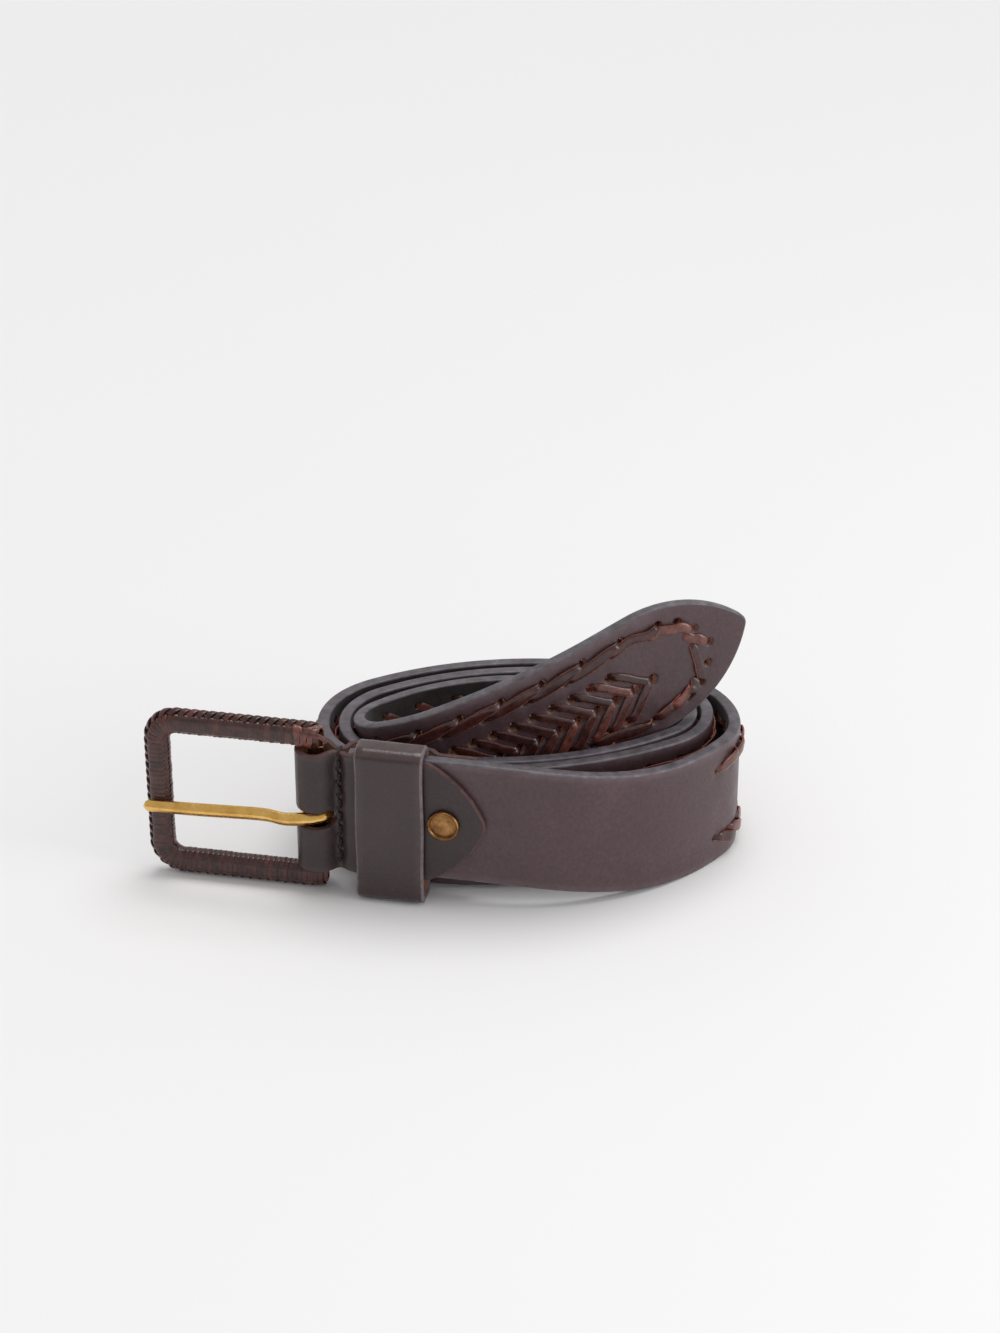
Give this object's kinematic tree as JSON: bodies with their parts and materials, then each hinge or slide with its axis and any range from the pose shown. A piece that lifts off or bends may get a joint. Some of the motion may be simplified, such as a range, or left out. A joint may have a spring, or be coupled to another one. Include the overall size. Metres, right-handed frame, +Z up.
{
  "type": "leather belt",
  "caption": "Coiled leather belt on its edge, with laced edges and a chevron-laced pointed end, a lace-wrapped buckle, swinging prong, keeper loop and riveted chape.",
  "frame": {"origin": "middle of the footprint, at the level of the lowest point", "axes": "+Z up, +X from the buckle towards the coil, -Y towards the side where the chape's tongue and the rivet cap show"},
  "size_m": [0.1728, 0.0822, 0.0756],
  "materials": {
    "strap_leather": "smooth dark brown leather with a soft sheen, burnished paler edges and a napped back",
    "chape_leather": "smooth dark brown leather, tan flesh side and reddish raw edges",
    "keeper_leather": "smooth dark brown leather, tan flesh side",
    "lace": "glossy dark brown flat lace with reddish cut edges",
    "thread": "waxed twisted thread",
    "prong_brass": "satin brass",
    "rivet_brass": "aged brass",
    "steel": "plain wire"
  },
  "bodies": {
    "belt": {"main_strap": "strap_leather", "upper_edge_lace": "lace", "lower_edge_lace": "lace", "tip_lace": "lace", "chevron_lace": "lace", "buckle_chape": "chape_leather", "chape_thread": "thread", "rivet_cap": "rivet_brass", "rivet_post": "rivet_brass"},
    "buckle": {"buckle_frame": "steel", "frame_wrap_lace": "lace", "frame_ridge_braid": "lace"},
    "prong": {"prong": "prong_brass"},
    "keeper": {"keeper_loop": "keeper_leather", "keeper_staple": "steel"}
  },
  "joints": [
    {"name": "buckle_swing", "type": "hinge", "parent": "belt", "child": "buckle", "pos_m": [-0.03629, -0.0278, 0.02694], "axis": [0, 0, 1], "range_deg": [-60, 35]},
    {"name": "prong_swing", "type": "hinge", "parent": "buckle", "child": "prong", "pos_m": [-0.03629, -0.0278, 0.02694], "axis": [0, 0, 1], "range_deg": [0, 56]},
    {"name": "keeper_slide", "type": "slide", "parent": "belt", "child": "keeper", "axis": [0.9799, -0.1994, 0], "range_m": [-0.0015, 0.0003]}
  ]
}
